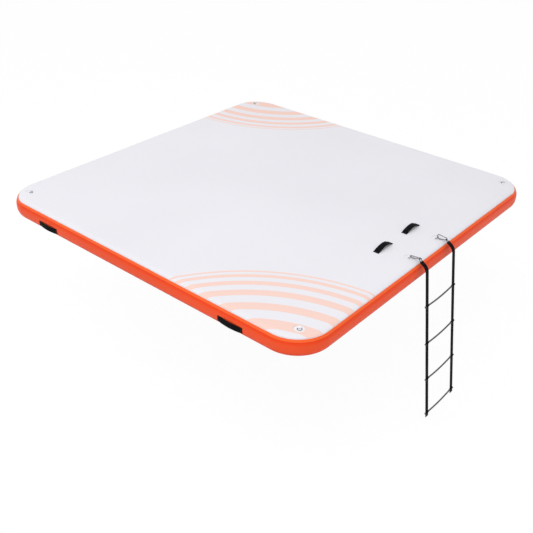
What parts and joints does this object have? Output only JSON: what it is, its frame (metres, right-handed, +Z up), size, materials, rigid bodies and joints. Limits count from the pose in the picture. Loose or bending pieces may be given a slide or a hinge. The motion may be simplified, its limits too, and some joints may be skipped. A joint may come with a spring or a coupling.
{
  "type": "inflatable dock platform",
  "caption": "Square drop-stitch inflatable swim platform with a cushioned deck, lifting rings, carry handles, an air valve and a hook-on webbing boarding ladder.",
  "frame": {"origin": "centre of the platform's flat underside", "axes": "+Z up out of the deck; +X towards the side that the boarding ladder hangs from; -Y towards the side shown on the left in the picture"},
  "size_m": [3.2979, 3.0806, 1.3239],
  "materials": {
    "deck_white": "satin foam-feel decking",
    "skin_white": "satin coated fabric",
    "band_orange": "satin coated fabric",
    "tape_orange": "satin coated tape",
    "core_thread": "woven",
    "webbing_black": "ribbed webbing",
    "rung_grey": "satin",
    "steel": "polished",
    "valve_grey": "satin",
    "valve_black": "matt"
  },
  "bodies": {
    "platform": {"bottom_skin": "skin_white", "deck_handle_left": "webbing_black", "deck_handle_right": "webbing_black", "deck_pad": "deck_white", "drop_stitch_core": "core_thread", "far_corner_patch": "skin_white", "far_corner_tab": "skin_white", "ladder_left_patch": "skin_white", "ladder_left_tab": "skin_white", "ladder_right_patch": "skin_white", "ladder_right_tab": "skin_white", "left_corner_patch": "skin_white", "left_corner_tab": "skin_white", "lower_seam_tape": "tape_orange", "near_corner_patch": "skin_white", "near_corner_tab": "skin_white", "right_corner_patch": "skin_white", "right_corner_tab": "skin_white", "side_band": "band_orange", "side_handle_back_a": "webbing_black", "side_handle_back_b": "webbing_black", "side_handle_front_a": "webbing_black", "side_handle_front_b": "webbing_black", "strap_left": "webbing_black", "strap_right": "webbing_black", "top_skin": "skin_white", "upper_seam_tape": "tape_orange", "valve_body": "valve_grey", "valve_boot": "band_orange", "valve_nut": "valve_black"},
    "near_corner_lifting_ring": {"near_corner_ring": "steel"},
    "right_corner_lifting_ring": {"right_corner_ring": "steel"},
    "far_corner_lifting_ring": {"far_corner_ring": "steel"},
    "left_corner_lifting_ring": {"left_corner_ring": "steel"},
    "ladder_left_hook_ring": {"ladder_left_ring": "steel"},
    "hook_left": {"hook_left_body": "steel"},
    "hook_left_gate_rod": {"hook_left_gate": "steel"},
    "ladder_right_hook_ring": {"ladder_right_ring": "steel"},
    "hook_right": {"hook_right_body": "steel"},
    "hook_right_gate_rod": {"hook_right_gate": "steel"},
    "ladder_bay_1": {"rail_left_1": "webbing_black", "rail_right_1": "webbing_black", "rung_1": "rung_grey"},
    "ladder_bay_2": {"rail_left_2": "webbing_black", "rail_right_2": "webbing_black", "rung_2": "rung_grey"},
    "ladder_bay_3": {"rail_left_3": "webbing_black", "rail_right_3": "webbing_black", "rung_3": "rung_grey"},
    "ladder_bay_4": {"rail_left_4": "webbing_black", "rail_right_4": "webbing_black", "rung_4": "rung_grey"},
    "valve_plunger": {"valve_stem": "valve_black", "valve_spring": "steel"},
    "valve_seal": {"cap_gasket": "valve_black"},
    "valve_lid": {"valve_cap": "valve_grey"}
  },
  "joints": [
    {"name": "near_corner_ring_flip", "type": "hinge", "parent": "platform", "child": "near_corner_lifting_ring", "pos_m": [1.367, -1.367, 0.1573], "axis": [-0.7071, -0.7071, 0], "range_deg": [0, 160]},
    {"name": "right_corner_ring_flip", "type": "hinge", "parent": "platform", "child": "right_corner_lifting_ring", "pos_m": [1.367, 1.367, 0.1573], "axis": [0.7071, 0.7071, 0], "range_deg": [0, 160]},
    {"name": "far_corner_ring_flip", "type": "hinge", "parent": "platform", "child": "far_corner_lifting_ring", "pos_m": [-1.367, 1.367, 0.1573], "axis": [-0.7071, 0.7071, 0], "range_deg": [0, 160]},
    {"name": "left_corner_ring_flip", "type": "hinge", "parent": "platform", "child": "left_corner_lifting_ring", "pos_m": [-1.367, -1.367, 0.1573], "axis": [0.7071, -0.7071, 0], "range_deg": [0, 160]},
    {"name": "ladder_left_ring_tilt", "type": "hinge", "parent": "platform", "child": "ladder_left_hook_ring", "pos_m": [1.41995, -0.198, 0.1573], "axis": [0, -1, 0], "range_deg": [0, 3]},
    {"name": "hook_left_pivot", "type": "hinge", "parent": "ladder_left_hook_ring", "child": "hook_left", "pos_m": [1.43701, -0.198, 0.17038], "axis": [0, -1, 0], "range_deg": [-5, 1]},
    {"name": "hook_left_gate_open", "type": "hinge", "parent": "hook_left", "child": "hook_left_gate_rod", "pos_m": [1.49121, -0.20426, 0.18808], "axis": [0.1069, -0.788, -0.6063], "range_deg": [0, 25], "stiffness_Nm_per_rad": 0.05, "springref_deg": -17.19},
    {"name": "ladder_right_ring_tilt", "type": "hinge", "parent": "platform", "child": "ladder_right_hook_ring", "pos_m": [1.42069, 0.174, 0.1573], "axis": [0, -1, 0], "range_deg": [0, 3]},
    {"name": "hook_right_pivot", "type": "hinge", "parent": "ladder_right_hook_ring", "child": "hook_right", "pos_m": [1.43949, 0.174, 0.16772], "axis": [0, -1, 0], "range_deg": [-5, 1]},
    {"name": "hook_right_gate_open", "type": "hinge", "parent": "hook_right", "child": "hook_right_gate_rod", "pos_m": [1.49184, 0.174, 0.18816], "axis": [0, -1, 0], "range_deg": [0, 25], "stiffness_Nm_per_rad": 0.05, "springref_deg": -17.19},
    {"name": "ladder_swing", "type": "hinge", "parent": "platform", "child": "ladder_bay_1", "pos_m": [1.58212, -0.012, 0.06446], "axis": [0, -1, 0], "range_deg": [-8, 75]},
    {"name": "ladder_fold_1", "type": "hinge", "parent": "ladder_bay_1", "child": "ladder_bay_2", "pos_m": [1.61326, -0.012, -0.1715], "axis": [0, -1, 0], "range_deg": [-30, 45]},
    {"name": "ladder_fold_2", "type": "hinge", "parent": "ladder_bay_2", "child": "ladder_bay_3", "pos_m": [1.65654, -0.012, -0.47947], "axis": [0, -1, 0], "range_deg": [-30, 45]},
    {"name": "ladder_fold_3", "type": "hinge", "parent": "ladder_bay_3", "child": "ladder_bay_4", "pos_m": [1.69982, -0.012, -0.78745], "axis": [0, -1, 0], "range_deg": [-30, 45]},
    {"name": "valve_press", "type": "slide", "parent": "platform", "child": "valve_plunger", "axis": [1, 0, 0], "range_m": [0, 0.006], "stiffness_N_per_m": 300, "springref_m": -0.004, "deforming": ["valve_spring"]},
    {"name": "cap_pull", "type": "slide", "parent": "platform", "child": "valve_seal", "axis": [-1, 0, 0], "range_m": [0, 0.03]},
    {"name": "cap_turn", "type": "hinge", "parent": "valve_seal", "child": "valve_lid", "pos_m": [-1.528, 0, 0.076], "axis": [-1, 0, 0], "range_deg": [0, 90]}
  ],
  "couplings": [
    {"joint": "hook_left_pivot", "follows": "ladder_left_ring_tilt", "ratio": -1.2428},
    {"joint": "hook_right_pivot", "follows": "ladder_right_ring_tilt", "ratio": -1.2798}
  ]
}
